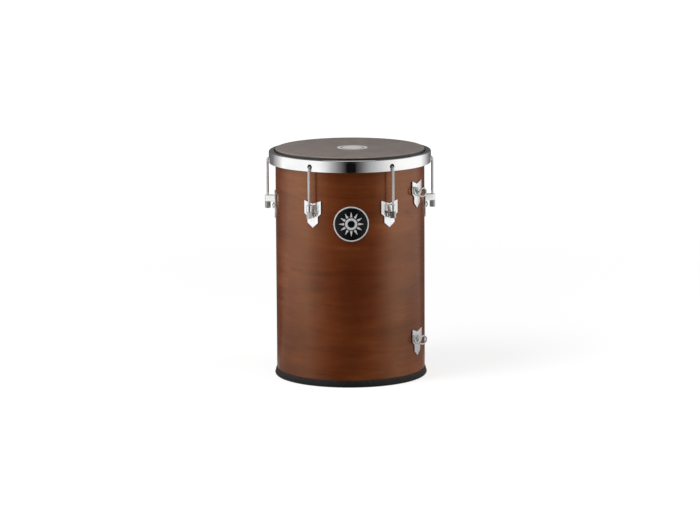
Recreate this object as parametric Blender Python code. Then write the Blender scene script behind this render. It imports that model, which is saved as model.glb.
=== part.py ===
"""A rebolo, the Brazilian hand drum with a wooden shell, built from its separate pieces.

Metres, +Z up. The origin is the middle of the underside, and the front, where the badge is, faces -Y.
An azimuth is measured in degrees from the front, -Y, towards +X.
"""

from math import acos, asin, atan2, cos, degrees, hypot, pi, radians, sin, sqrt, tan

import bmesh
import bpy
from mathutils import Matrix, Vector

# Clearance between pieces that touch, and the fineness of round shapes
GAP = 0.0003
ROUND_SIDES = 64
SMALL_SIDES = 12
BEND_STEPS = 4
MERGE = 1e-7

# Wooden shell
SHELL_RADIUS = 0.150
SHELL_WALL = 0.007
SHELL_LENGTH = 0.4572
EDGE_ROUND = 0.004

# Rubber ring under the shell
RING_WEB = 0.004
RING_LIP_HEIGHT = 0.0145
RING_LIP_TOP = 0.0009
RING_INNER_LIP_HEIGHT = 0.0125
RING_INNER_LIP = 0.002
RING_BULGE = 0.004
RING_ROUND = 0.005

# Drumhead: a film with a collar and a lip, which the flesh hoop holds
FILM = 0.0009
LIP_REACH = 0.005

# Flesh hoop
FLESH_WIDTH = 0.008
FLESH_HEIGHT = 0.008
GROOVE_FLOOR = 0.002

# Counter hoop, an angle section with its flange on top
HOOP_HEIGHT = 0.0242
HOOP_SHEET = 0.0025
HOOP_CORNER = 0.003
HOOP_PLAY = 0.0012
FLANGE_PLAY = 0.002
HEAD_PROUD = 0.0049
HOLE_RADIUS = 0.005
HOLE_RISE = 0.0094

# Tension hook, with a rolled thread on its lower end
SHANK_RADIUS = 0.0025
THREAD_RADIUS = 0.003
THREAD_LENGTH = 0.025
HOOK_BEND = 0.005
HOOK_INSIDE = 0.005
HOOK_DROP = 0.0006

# Lugs
LUG_COUNT = 6
FIRST_LUG = 30
LUG_DROP = 0.0867

# Fishtail plate, with heights measured down from its two top corners
PLATE_SHEET = 0.002
PLATE_HALF_WIDTH = 0.0187
STEM_HALF_WIDTH = 0.0118
NOTCH_DEPTH = 0.0065
SHOULDER_DROP = 0.026
STEM_DROP = 0.0315
POINT_DROP = 0.0445
PLATE_HEIGHT = 0.0547

# Loop that the rod passes through
LOOP_DROP = 0.0079
LOOP_HEIGHT = 0.0126
LOOP_SHEET = 0.0018
LOOP_PLAY = 0.0008
LOOP_FOOT = 0.0094

# Tension nut, and how far the one on each lug happens to be turned, in degrees
NUT_ACROSS = 0.010
NUT_HEIGHT = 0.0132
NUT_CHAMFER = 0.0009
ROD_SHORT = 0.001
NUT_TURNS = (0, 0, 10, 20, 0, 30)

# Dome-headed bolt and the plates' rear studs, with the nuts inside the shell
BOLT_RADIUS = 0.0025
BOLT_DROP = 0.029
STUD_DROP = 0.0125
DOME_RADIUS = 0.0062
DOME_HEIGHT = 0.0042
INNER_NUT_ACROSS = 0.008
INNER_NUT_HEIGHT = 0.0045
FLANGE_RADIUS = 0.006
FLANGE_SHEET = 0.001
BOLT_END = 0.001

# Strap hooks
STRAP_AZIMUTH = 61
STRAP_UPPER_DROP = 0.0565
STRAP_LOWER_RISE = 0.1004
STRAP_STUD_DROPS = (0.011, 0.038)
CROSSING_DROP = 0.0221
WIRE_RADIUS = 0.0017
FRONT_EYE = 0.0074
REAR_EYE = 0.0084
EYE_SPACING = 0.0262
EYE_LIFT = radians(22)
EYE_STEPS = 14
WIRE_SHIFT = -0.0018
WIRE_TILT = radians(12)

# Badge on the front, left blank
BADGE_RADIUS = 0.035
BADGE_DROP = 0.1316
BADGE_RIM = 0.0026
BADGE_RIM_HEIGHT = 0.002
BADGE_FLOOR = 0.0008
BADGE_INLAY = 0.0006
BADGE_SIDES = 32
BADGE_RINGS = 3

# Heights that follow from the sizes above
SHELL_BOTTOM = RING_WEB + GAP
SHELL_TOP = SHELL_BOTTOM + SHELL_LENGTH
FILM_UNDERSIDE = SHELL_TOP + GAP
HEAD_TOP = FILM_UNDERSIDE + FILM
HOOP_TOP = HEAD_TOP - HEAD_PROUD
HOOP_BOTTOM = HOOP_TOP - HOOP_HEIGHT
FLESH_TOP = HOOP_TOP - HOOP_SHEET - GAP
LIP_MIDDLE = FLESH_TOP - FLESH_HEIGHT / 2
HOLE_HEIGHT = HOOP_BOTTOM + HOLE_RISE
HOOK_HEIGHT = HOLE_HEIGHT - HOOK_DROP
LUG_TOP = SHELL_TOP - LUG_DROP
LOOP_TOP = LUG_TOP - LOOP_DROP
LOOP_BOTTOM = LOOP_TOP - LOOP_HEIGHT
NUT_TOP = LOOP_BOTTOM - GAP
NUT_BOTTOM = NUT_TOP - NUT_HEIGHT
ROD_END = NUT_BOTTOM + ROD_SHORT
STRAP_TOPS = {"upper": SHELL_TOP - STRAP_UPPER_DROP, "lower": SHELL_BOTTOM + STRAP_LOWER_RISE}

# Distances from the drum's axis that follow from the sizes above
SHELL_INSIDE = SHELL_RADIUS - SHELL_WALL
COLLAR_INSIDE = SHELL_RADIUS + GAP
COLLAR_OUTSIDE = COLLAR_INSIDE + FILM
FLESH_INSIDE = COLLAR_OUTSIDE + GAP
FLESH_OUTSIDE = FLESH_INSIDE + FLESH_WIDTH
HOOP_INSIDE = FLESH_OUTSIDE + HOOP_PLAY
HOOP_OUTSIDE = HOOP_INSIDE + HOOP_SHEET
FLANGE_INSIDE = COLLAR_OUTSIDE + FLANGE_PLAY
ROD_AXIS = HOOP_OUTSIDE + GAP + SHANK_RADIUS
PLATE_BACK = SHELL_RADIUS + GAP
PLATE_FRONT = PLATE_BACK + PLATE_SHEET
ON_PLATE = PLATE_FRONT + GAP
# A flat flange meets the round inside of the shell at its rim, across the flats of the faceted shell
INNER_SEAT = sqrt(SHELL_INSIDE**2 - FLANGE_RADIUS**2) * cos(pi / ROUND_SIDES) - GAP
BOLT_TIP = INNER_SEAT - FLANGE_SHEET - INNER_NUT_HEIGHT - BOLT_END

LUG_AZIMUTHS = [FIRST_LUG + 360 / LUG_COUNT * lug for lug in range(LUG_COUNT)]
# Turns a piece that is made along Z to point out of the drum's front
OUTWARD = Matrix.Rotation(pi / 2, 4, "X")


def finish(name, colour, roughness, metallic):
    """A plain material of one colour."""
    material = bpy.data.materials.new(name)
    material.use_nodes = True
    shader = material.node_tree.nodes["Principled BSDF"]
    shader.inputs["Base Color"].default_value = (*colour, 1)
    shader.inputs["Roughness"].default_value = roughness
    shader.inputs["Metallic"].default_value = metallic
    return material


def arc(centre, radius, start, end, steps):
    """Points on a circle's arc, between two angles in degrees."""
    turns = [radians(start + (end - start) * step / steps) for step in range(steps + 1)]
    return [(centre[0] + radius * cos(turn), centre[1] + radius * sin(turn)) for turn in turns]


def mesh_from(bm, name):
    """The mesh of a closed bmesh, with its faces outward and its edges sharp where they fold."""
    bmesh.ops.recalc_face_normals(bm, faces=bm.faces)
    mesh = bpy.data.meshes.new(name)
    bm.to_mesh(mesh)
    bm.free()
    mesh.shade_smooth()
    mesh.set_sharp_from_angle(angle=radians(30))
    return mesh


def turned(name, profile, sides=ROUND_SIDES):
    """Turns an outline of (radius, height) points about Z. It is closed on the axis or on itself."""
    bm = bmesh.new()
    points = [bm.verts.new((radius, 0, height)) for radius, height in profile]
    path = points if profile[0][0] == 0 else points + points[:1]
    edges = [bm.edges.new(ends) for ends in zip(path, path[1:])]
    bmesh.ops.spin(
        bm, geom=points + edges, cent=(0, 0, 0), axis=(0, 0, 1), angle=2 * pi, steps=sides, use_merge=True
    )
    bmesh.ops.remove_doubles(bm, verts=bm.verts, dist=MERGE)
    return mesh_from(bm, name)


def turn_to(azimuth):
    return Matrix.Rotation(radians(azimuth), 4, "Z")


def facing_out(azimuth, height):
    """A frame on the drum's axis whose Z points out at the azimuth."""
    return turn_to(azimuth) @ Matrix.Translation((0, 0, height)) @ OUTWARD


def radial_pins(name, places, radius, near, far, sides=SMALL_SIDES):
    """Round pins that point out from the drum's axis, one for each (azimuth, height)."""
    bm = bmesh.new()
    for azimuth, height in places:
        middle = facing_out(azimuth, height) @ Matrix.Translation((0, 0, (near + far) / 2))
        bmesh.ops.create_cone(
            bm,
            cap_ends=True,
            segments=sides,
            radius1=radius,
            radius2=radius,
            depth=far - near,
            matrix=middle,
        )
    return mesh_from(bm, name)


def combined(mesh, other, operation):
    """A new mesh: the first with the second cut out of it, joined to it or met with it."""
    body = bpy.data.objects.new(mesh.name, mesh)
    tool = bpy.data.objects.new(other.name, other)
    for helper in (body, tool):
        bpy.context.scene.collection.objects.link(helper)
    boolean = body.modifiers.new("shape", "BOOLEAN")
    boolean.operation = operation
    boolean.object = tool
    bpy.context.view_layer.update()
    whole = bpy.data.meshes.new_from_object(body.evaluated_get(bpy.context.evaluated_depsgraph_get()))
    for helper in (body, tool):
        bpy.data.objects.remove(helper)
    whole.set_sharp_from_angle(angle=radians(30))
    return whole


def add(name, data, material, matrix=None):
    """An object of its own for one piece. Equal pieces share their mesh or curve."""
    if not data.materials:
        data.materials.append(material)
    piece = bpy.data.objects.new(name, data)
    bpy.context.scene.collection.objects.link(piece)
    if matrix is not None:
        piece.matrix_world = matrix
    return piece


def wrap(bm, back):
    """Bends what lies flat in XZ, its thickness towards -Y, round the drum from the radius of its back."""
    for vert in bm.verts:
        angle = vert.co.x / back
        radius = back - vert.co.y
        vert.co = Vector((radius * sin(angle), -radius * cos(angle), vert.co.z))


def shell():
    top_of_wall = SHELL_TOP - EDGE_ROUND
    crown = arc((SHELL_RADIUS - EDGE_ROUND, top_of_wall), EDGE_ROUND, 0, 90, BEND_STEPS)
    bevel = SHELL_WALL - EDGE_ROUND
    profile = [(SHELL_RADIUS, SHELL_BOTTOM), *crown]
    profile += [(SHELL_INSIDE, SHELL_TOP - bevel), (SHELL_INSIDE, SHELL_BOTTOM)]
    places = [(azimuth, LUG_TOP - drop) for azimuth in LUG_AZIMUTHS for drop in (BOLT_DROP, STUD_DROP)]
    places += [(STRAP_AZIMUTH, top - drop) for top in STRAP_TOPS.values() for drop in STRAP_STUD_DROPS]
    near, far = SHELL_INSIDE - SHELL_WALL, SHELL_RADIUS + SHELL_WALL
    holes = radial_pins("shell_holes", places, BOLT_RADIUS + GAP, near, far)
    return combined(turned("shell", profile), holes, "DIFFERENCE")


def bottom_ring():
    bulge = SHELL_RADIUS + RING_BULGE
    lip_inside = SHELL_RADIUS + GAP
    inner_lip = SHELL_INSIDE - GAP
    profile = [(inner_lip - RING_INNER_LIP, 0)]
    profile += arc((bulge - RING_ROUND, RING_ROUND), RING_ROUND, -90, 0, BEND_STEPS)
    profile += [(lip_inside + RING_LIP_TOP, RING_LIP_HEIGHT), (lip_inside, RING_LIP_HEIGHT)]
    profile += [(lip_inside, RING_WEB), (inner_lip, RING_WEB)]
    profile += [(inner_lip, RING_INNER_LIP_HEIGHT), (inner_lip - RING_INNER_LIP, RING_INNER_LIP_HEIGHT)]
    return turned("bottom_ring", profile)


def drumhead():
    """The film runs flat over the shell, down its outside and out into the flesh hoop's groove."""
    centre = (SHELL_RADIUS - EDGE_ROUND, SHELL_TOP - EDGE_ROUND)
    under_bend = EDGE_ROUND + GAP
    lip_top = LIP_MIDDLE + FILM / 2
    lip_end = COLLAR_OUTSIDE + LIP_REACH
    profile = [(0, HEAD_TOP), *reversed(arc(centre, under_bend + FILM, 0, 90, BEND_STEPS))]
    profile += [(COLLAR_OUTSIDE, lip_top), (lip_end, lip_top)]
    profile += [(lip_end, lip_top - FILM), (COLLAR_INSIDE, lip_top - FILM)]
    profile += [*arc(centre, under_bend, 0, 90, BEND_STEPS), (0, FILM_UNDERSIDE)]
    return turned("drumhead", profile)


def flesh_hoop():
    groove = FILM / 2 + GAP
    bottom = FLESH_TOP - FLESH_HEIGHT
    groove_end = FLESH_OUTSIDE - GROOVE_FLOOR
    profile = [(FLESH_INSIDE, bottom), (FLESH_OUTSIDE, bottom), (FLESH_OUTSIDE, FLESH_TOP)]
    profile += [(FLESH_INSIDE, FLESH_TOP), (FLESH_INSIDE, LIP_MIDDLE + groove)]
    profile += [(groove_end, LIP_MIDDLE + groove), (groove_end, LIP_MIDDLE - groove)]
    profile += [(FLESH_INSIDE, LIP_MIDDLE - groove)]
    return turned("flesh_hoop", profile)


def counter_hoop():
    corner = (HOOP_OUTSIDE - HOOP_CORNER, HOOP_TOP - HOOP_CORNER)
    under_flange = HOOP_TOP - HOOP_SHEET
    profile = [(HOOP_INSIDE, HOOP_BOTTOM), (HOOP_OUTSIDE, HOOP_BOTTOM)]
    profile += arc(corner, HOOP_CORNER, 0, 90, BEND_STEPS)
    profile += [(FLANGE_INSIDE, HOOP_TOP), (FLANGE_INSIDE, under_flange), (HOOP_INSIDE, under_flange)]
    places = [(azimuth, HOLE_HEIGHT) for azimuth in LUG_AZIMUTHS]
    near, far = HOOP_INSIDE - HOOP_SHEET, HOOP_OUTSIDE + HOOP_SHEET
    holes = radial_pins("hoop_holes", places, HOLE_RADIUS, near, far)
    return combined(turned("counter_hoop", profile), holes, "DIFFERENCE")


def fishtail(name, holes, studs):
    """A flat plate with a notched top and a pointed stem, its top corners at height 0."""
    right = [(PLATE_HALF_WIDTH, 0), (PLATE_HALF_WIDTH, -SHOULDER_DROP)]
    right += [(STEM_HALF_WIDTH, -STEM_DROP), (STEM_HALF_WIDTH, -POINT_DROP)]
    left = [(-across, up) for across, up in reversed(right)]
    outline = [(0, -NOTCH_DEPTH), *right, (0, -PLATE_HEIGHT), *left]
    bm = bmesh.new()
    bm.faces.new([bm.verts.new((across, -PLATE_BACK, up)) for across, up in outline])
    pulled = bmesh.ops.extrude_face_region(bm, geom=bm.faces[:])["geom"]
    front = [item for item in pulled if isinstance(item, bmesh.types.BMVert)]
    bmesh.ops.translate(bm, verts=front, vec=(0, -PLATE_SHEET, 0))
    plate = mesh_from(bm, name)
    if holes:
        far = PLATE_FRONT + PLATE_SHEET
        places = [(0, -drop) for drop in holes]
        drilled = radial_pins("plate_holes", places, BOLT_RADIUS + GAP, SHELL_INSIDE, far)
        plate = combined(plate, drilled, "DIFFERENCE")
    rooted = PLATE_BACK + PLATE_SHEET / 2
    pins = radial_pins("plate_studs", [(0, -drop) for drop in studs], BOLT_RADIUS, BOLT_TIP, rooted)
    return combined(plate, pins, "UNION")


def lug_loop():
    """A strap round the rod, whose straight legs run from its round end to the plate."""
    outer = THREAD_RADIUS + LOOP_PLAY + LOOP_SHEET
    reach = ROD_AXIS - ON_PLATE
    flare = acos(outer / hypot(LOOP_FOOT, reach)) - atan2(reach, LOOP_FOOT)
    inner_foot = LOOP_FOOT - LOOP_SHEET / cos(flare)
    start, end = degrees(flare), 180 - degrees(flare)

    def side(radius, foot):
        round_end = arc((0, 0), radius, start, end, 2 * BEND_STEPS)
        bend = [(across, -ROD_AXIS - out) for across, out in round_end]
        return [(foot, -ON_PLATE), *bend, (-foot, -ON_PLATE)]

    bm = bmesh.new()
    rows = [
        [bm.verts.new((across, out, LOOP_BOTTOM)) for across, out in side(radius, foot)]
        for radius, foot in ((outer, LOOP_FOOT), (outer - LOOP_SHEET, inner_foot))
    ]
    for a, b, c, d in zip(rows[0], rows[0][1:], rows[1][1:], rows[1]):
        bm.faces.new((a, b, c, d))
    pulled = bmesh.ops.extrude_face_region(bm, geom=bm.faces[:])["geom"]
    raised = [item for item in pulled if isinstance(item, bmesh.types.BMVert)]
    bmesh.ops.translate(bm, verts=raised, vec=(0, 0, LOOP_HEIGHT))
    return mesh_from(bm, "lug_loop")


def bent_rod(name, points, radius, swells=None, closed=False):
    """A round rod or wire along the points, thicker where its swell is over 1."""
    curve = bpy.data.curves.new(name, "CURVE")
    curve.dimensions = "3D"
    curve.bevel_depth = radius
    curve.bevel_resolution = 2
    curve.use_fill_caps = not closed
    spline = curve.splines.new("POLY")
    spline.points.add(len(points) - 1)
    spline.use_cyclic_u = closed
    for number, point in enumerate(points):
        spline.points[number].co = (*point, 1)
        spline.points[number].radius = swells[number] if swells else 1
    return curve


def tension_hook():
    """The rod stands outside the hoop and bends in through its hole."""
    swell = THREAD_RADIUS / SHANK_RADIUS
    thread_top = ROD_END + THREAD_LENGTH
    runout = THREAD_RADIUS - SHANK_RADIUS
    bend = arc((ROD_AXIS - HOOK_BEND, HOOK_HEIGHT - HOOK_BEND), HOOK_BEND, 0, 90, BEND_STEPS)
    inner_end = HOOP_INSIDE - HOOK_INSIDE
    path = [(ROD_AXIS, ROD_END), (ROD_AXIS, thread_top), (ROD_AXIS, thread_top + runout)]
    path += [*bend, (inner_end, HOOK_HEIGHT)]
    swells = [swell, swell] + [1] * (len(path) - 2)
    return bent_rod("tension_hook", [(0, -out, up) for out, up in path], SHANK_RADIUS, swells)


def hex_prism(name, across, bottom, top):
    bm = bmesh.new()
    corner = across / 2 / cos(pi / 6)
    middle = Matrix.Translation((0, 0, (bottom + top) / 2))
    bmesh.ops.create_cone(
        bm, cap_ends=True, segments=6, radius1=corner, radius2=corner, depth=top - bottom, matrix=middle
    )
    return mesh_from(bm, name)


def bored(mesh, radius, bottom, top):
    """The mesh with a hole along Z."""
    below, above = 2 * bottom - top, 2 * top - bottom
    bore = turned("bore", [(0, below), (radius, below), (radius, above), (0, above)], SMALL_SIDES)
    return combined(mesh, bore, "DIFFERENCE")


def tension_nut():
    """A tall hexagon nut with both ends chamfered, its lower end at height 0."""
    corner = NUT_ACROSS / 2 / cos(pi / 6)
    end = corner - NUT_CHAMFER
    low, high = NUT_CHAMFER / 2, NUT_HEIGHT - NUT_CHAMFER / 2
    barrel = [(0, 0), (end, 0), (corner + GAP, low), (corner + GAP, high)]
    barrel += [(end, NUT_HEIGHT), (0, NUT_HEIGHT)]
    prism = hex_prism("tension_nut", NUT_ACROSS, -GAP, NUT_HEIGHT + GAP)
    blank = combined(prism, turned("nut_barrel", barrel, 2 * SMALL_SIDES), "INTERSECT")
    return bored(blank, THREAD_RADIUS + GAP, 0, NUT_HEIGHT)


def lug_bolt():
    """Turned about Z, which points out of the drum: heights are distances from the drum's axis."""
    rise = arc((0, 0), 1, 90, 0, BEND_STEPS)
    dome = [(DOME_RADIUS * across, ON_PLATE + DOME_HEIGHT * up) for across, up in rise]
    dome[0] = (0, ON_PLATE + DOME_HEIGHT)
    shank = [(BOLT_RADIUS, ON_PLATE), (BOLT_RADIUS, BOLT_TIP), (0, BOLT_TIP)]
    return turned("lug_bolt", [*dome, *shank], SMALL_SIDES)


def inner_nut():
    """A flanged hexagon nut inside the shell. Z points out of the drum."""
    flange = INNER_SEAT - FLANGE_SHEET
    back = flange - INNER_NUT_HEIGHT
    rim = [(0, flange), (FLANGE_RADIUS, flange), (FLANGE_RADIUS, INNER_SEAT), (0, INNER_SEAT)]
    disc = turned("nut_flange", rim, SMALL_SIDES)
    prism = hex_prism("inner_nut", INNER_NUT_ACROSS, back, INNER_SEAT - FLANGE_SHEET / 2)
    return bored(combined(prism, disc, "UNION"), BOLT_RADIUS + GAP, back, INNER_SEAT)


def strap_wire():
    """A closed wire with a round eye at each end and two straight strands that cross at height 0.

    One strand lies on the plate and the other on the first. The rear eye, the larger, lifts off the plate.
    """
    over = 2 * WIRE_RADIUS + GAP
    rest = ON_PLATE + WIRE_RADIUS
    eyes = FRONT_EYE + REAR_EYE
    opening = 90 + degrees(asin(eyes / EYE_SPACING))
    points = []
    for side, radius, lift in ((1, REAR_EYE, EYE_LIFT), (-1, FRONT_EYE, 0)):
        eye = arc((EYE_SPACING * radius / eyes, 0), radius, opening, -opening, EYE_STEPS)
        strand_end = eye[0][0]
        for step, (across, up) in enumerate(eye):
            share = (1 + side * cos(pi * step / EYE_STEPS)) / 2
            out = rest + over * share + (across - strand_end) * tan(lift)
            points.append((side * across, -out, up))
    return bent_rod("strap_wire", points, WIRE_RADIUS, closed=True)


def curved_disc(name, profile):
    """A round piece on the shell's front, turned about its own middle and bent round the shell."""
    flat = turned(name, profile, BADGE_SIDES)
    bm = bmesh.new()
    bm.from_mesh(flat)
    bmesh.ops.transform(bm, matrix=OUTWARD, verts=bm.verts)
    wrap(bm, PLATE_BACK)
    return mesh_from(bm, name)


def across_disc(radius, height):
    """Points from the middle of a disc to its rim, close enough for it to bend."""
    return [(radius * ring / BADGE_RINGS, height) for ring in range(BADGE_RINGS + 1)]


def badge_plate():
    dish = BADGE_RADIUS - BADGE_RIM
    profile = [*across_disc(dish, BADGE_FLOOR), (dish, BADGE_RIM_HEIGHT)]
    profile += [(BADGE_RADIUS - BADGE_RIM / 3, BADGE_RIM_HEIGHT), (BADGE_RADIUS, BADGE_RIM_HEIGHT / 2)]
    profile += [(BADGE_RADIUS, 0), *reversed(across_disc(dish, 0))]
    return curved_disc("badge_plate", profile)


def badge_inlay():
    inlay = BADGE_RADIUS - BADGE_RIM - GAP
    bottom = BADGE_FLOOR + GAP
    profile = [*across_disc(inlay, bottom + BADGE_INLAY), *reversed(across_disc(inlay, bottom))]
    return curved_disc("badge_inlay", profile)


def build():
    for thing in list(bpy.data.objects):
        bpy.data.objects.remove(thing)

    wood = finish("varnished_wood", (0.12, 0.045, 0.02), 0.4, 0)
    rubber = finish("black_rubber", (0.02, 0.018, 0.02), 0.7, 0)
    skin = finish("brown_head_film", (0.19, 0.16, 0.15), 0.5, 0)
    alloy = finish("aluminium", (0.7, 0.7, 0.7), 0.35, 1)
    chrome = finish("chrome", (0.8, 0.8, 0.8), 0.08, 1)
    zinc = finish("zinc_plated_steel", (0.6, 0.6, 0.58), 0.3, 1)
    enamel = finish("black_enamel", (0.01, 0.01, 0.01), 0.25, 0)

    add("shell", shell(), wood)
    add("bottom_ring", bottom_ring(), rubber)
    add("drumhead", drumhead(), skin)
    add("flesh_hoop", flesh_hoop(), alloy)
    add("counter_hoop", counter_hoop(), chrome)

    plate, loop, hook = fishtail("lug_plate", [BOLT_DROP], [STUD_DROP]), lug_loop(), tension_hook()
    nut, bolt, small_nut = tension_nut(), lug_bolt(), inner_nut()
    for number, (azimuth, nut_turn) in enumerate(zip(LUG_AZIMUTHS, NUT_TURNS), 1):
        turn = turn_to(azimuth)
        at_rod = turn @ Matrix.Translation((0, -ROD_AXIS, NUT_BOTTOM))
        add(f"lug_plate_{number}", plate, chrome, turn @ Matrix.Translation((0, 0, LUG_TOP)))
        add(f"lug_loop_{number}", loop, chrome, turn)
        add(f"tension_hook_{number}", hook, zinc, turn)
        add(f"tension_nut_{number}", nut, chrome, at_rod @ turn_to(nut_turn))
        add(f"lug_bolt_{number}", bolt, chrome, facing_out(azimuth, LUG_TOP - BOLT_DROP))
        add(f"bolt_nut_{number}", small_nut, zinc, facing_out(azimuth, LUG_TOP - BOLT_DROP))
        add(f"stud_nut_{number}", small_nut, zinc, facing_out(azimuth, LUG_TOP - STUD_DROP))

    strap_plate, wire = fishtail("strap_plate", [], STRAP_STUD_DROPS), strap_wire()
    for place, top in STRAP_TOPS.items():
        turn = turn_to(STRAP_AZIMUTH)
        add(f"strap_plate_{place}", strap_plate, chrome, turn @ Matrix.Translation((0, 0, top)))
        at_crossing = turn @ Matrix.Translation((WIRE_SHIFT, 0, top - CROSSING_DROP))
        tilted = Matrix.Rotation(WIRE_TILT, 4, "Y")
        add(f"strap_loop_{place}", wire, chrome, at_crossing @ tilted)
        for number, drop in enumerate(STRAP_STUD_DROPS, 1):
            add(f"strap_nut_{place}_{number}", small_nut, zinc, facing_out(STRAP_AZIMUTH, top - drop))

    badge_height = Matrix.Translation((0, 0, SHELL_TOP - BADGE_DROP))
    add("badge_plate", badge_plate(), chrome, badge_height)
    add("badge_inlay", badge_inlay(), enamel, badge_height)


build()
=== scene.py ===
"""The looks of a rebolo drum: its fine shapes and finishes, and the studio it stands in.

Metres, +Z up. The front, where the badge is, faces -Y, and azimuths turn from there towards +X.
"""

from math import acos, asin, atan2, cos, degrees, hypot, pi, radians, sin, tan

import bmesh
import bpy
from mathutils import Matrix, Quaternion, Vector


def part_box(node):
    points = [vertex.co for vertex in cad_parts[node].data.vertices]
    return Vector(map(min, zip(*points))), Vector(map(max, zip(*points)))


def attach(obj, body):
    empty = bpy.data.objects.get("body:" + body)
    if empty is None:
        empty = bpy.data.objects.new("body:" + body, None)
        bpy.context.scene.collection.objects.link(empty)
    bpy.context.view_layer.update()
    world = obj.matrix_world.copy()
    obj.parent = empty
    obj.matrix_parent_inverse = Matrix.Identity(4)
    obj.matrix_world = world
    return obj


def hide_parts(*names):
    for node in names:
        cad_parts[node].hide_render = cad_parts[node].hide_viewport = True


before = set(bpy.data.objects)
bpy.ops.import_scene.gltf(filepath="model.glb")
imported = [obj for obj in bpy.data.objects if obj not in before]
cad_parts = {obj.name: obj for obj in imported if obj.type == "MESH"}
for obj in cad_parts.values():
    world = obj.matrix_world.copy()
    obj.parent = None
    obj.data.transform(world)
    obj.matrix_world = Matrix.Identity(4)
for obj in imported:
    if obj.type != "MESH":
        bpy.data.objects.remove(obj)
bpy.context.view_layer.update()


# Sizes read from the frame


def middle(node):
    low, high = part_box(node)
    return (low + high) / 2


def azimuth_of(node):
    """Where a piece stands round the drum, in degrees."""
    centre = middle(node)
    return degrees(atan2(centre.x, -centre.y))


LUGS = range(1, 7)
LUG_AZIMUTHS = {lug: azimuth_of(f"tension_nut_{lug}") for lug in LUGS}
ROD_AXIS = hypot(*middle("tension_nut_1").xy)
SHELL_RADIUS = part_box("shell")[1].x
SHELL_BOTTOM, SHELL_TOP = (corner.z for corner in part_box("shell"))
RING_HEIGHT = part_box("bottom_ring")[1].z
HEAD_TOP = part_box("drumhead")[1].z
FLESH_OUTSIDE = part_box("flesh_hoop")[1].x
FLESH_BOTTOM, FLESH_TOP = (corner.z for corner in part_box("flesh_hoop"))
HOOP_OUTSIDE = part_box("counter_hoop")[1].x
HOOP_BOTTOM, HOOP_TOP = (corner.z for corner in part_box("counter_hoop"))
ROD_END, ROD_TOP = (corner.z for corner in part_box("tension_hook_1"))
NUT_BOTTOM, NUT_TOP = (corner.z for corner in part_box("tension_nut_1"))
LOOP_BOTTOM, LOOP_TOP = (corner.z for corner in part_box("lug_loop_1"))
PLATE_BOTTOM, PLATE_TOP = (corner.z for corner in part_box("lug_plate_1"))
PLATE_HEIGHT = PLATE_TOP - PLATE_BOTTOM
BOLT_HEIGHT = middle("bolt_nut_1").z
STUD_HEIGHT = middle("stud_nut_1").z
STRAP_AZIMUTH = azimuth_of("strap_nut_upper_1")
STRAP_TOPS = {place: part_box(f"strap_plate_{place}")[1].z for place in ("upper", "lower")}
BADGE_HEIGHT = middle("badge_plate").z
BADGE_RADIUS = (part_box("badge_plate")[1].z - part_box("badge_plate")[0].z) / 2

# Sizes that the frame's boxes don't show
GAP = 0.0003
SHELL_WALL = 0.007
EDGE_ROUND = 0.004
RING_BULGE = 0.004
RING_ROUND = 0.005
RING_LIP_TOP = 0.0009
RING_INNER_LIP = 0.002
RING_INNER_LIP_HEIGHT = 0.0125
FILM = 0.0009
LIP_REACH = 0.005
GROOVE_FLOOR = 0.002
HOOP_SHEET = 0.0025
HOOP_CORNER = 0.003
FLANGE_PLAY = 0.002
HOLE_RADIUS = 0.005
HOOK_DROP = 0.0006
SHANK_RADIUS = 0.0025
THREAD_RADIUS = 0.003
THREAD_ROOT = 0.0025
THREAD_PITCH = 0.001
THREAD_LENGTH = 0.025
HOOK_BEND = 0.005
HOOK_INSIDE = 0.005
PLATE_SHEET = 0.002
PLATE_HALF_WIDTH = 0.0187
STEM_HALF_WIDTH = 0.0118
NOTCH_DEPTH = 0.0065
SHOULDER_DROP = 0.026
STEM_DROP = 0.0315
POINT_DROP = 0.0445
BOLT_RADIUS = 0.0025
BOLT_ROOT = 0.0021
BOLT_PITCH = 0.0008
LOOP_SHEET = 0.0018
LOOP_PLAY = 0.0008
LOOP_FOOT = 0.0094
NUT_ACROSS = 0.010
NUT_CHAMFER = 0.0009
INNER_NUT_ACROSS = 0.008
INNER_NUT_CHAMFER = 0.0007
FLANGE_RADIUS = 0.006
FLANGE_SHEET = 0.001
NUT_TURNS = (0, 0, 10, 20, 0, 30)
DOME_RADIUS = 0.0062
DOME_HEIGHT = 0.0042
WIRE_RADIUS = 0.0017
FRONT_EYE = 0.0074
REAR_EYE = 0.0084
EYE_SPACING = 0.0262
EYE_LIFT = radians(22)
WIRE_SHIFT = -0.0018
WIRE_TILT = radians(12)
CROSSING_DROP = 0.0221

# Distances from the drum's axis and heights that follow from them
SHELL_INSIDE = SHELL_RADIUS - SHELL_WALL
COLLAR_INSIDE = SHELL_RADIUS + GAP
COLLAR_OUTSIDE = COLLAR_INSIDE + FILM
HOOP_INSIDE = HOOP_OUTSIDE - HOOP_SHEET
FLANGE_INSIDE = COLLAR_OUTSIDE + FLANGE_PLAY
HOOK_HEIGHT = ROD_TOP - SHANK_RADIUS
HOLE_HEIGHT = HOOK_HEIGHT + HOOK_DROP
PLATE_BACK = SHELL_RADIUS + GAP
PLATE_FRONT = PLATE_BACK + PLATE_SHEET
ON_PLATE = PLATE_FRONT + GAP
FILM_UNDERSIDE = SHELL_TOP + GAP
LIP_MIDDLE = (FLESH_BOTTOM + FLESH_TOP) / 2
ALONG_RADIUS = Matrix.Rotation(pi / 2, 4, "X")


# Outlines


def round_turns(sides):
    """Angles at even steps of a full turn."""
    return [2 * pi * side / sides for side in range(sides)]


def outward(azimuth):
    """The direction out from the drum's axis."""
    return Vector((sin(radians(azimuth)), -cos(radians(azimuth)), 0))


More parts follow.
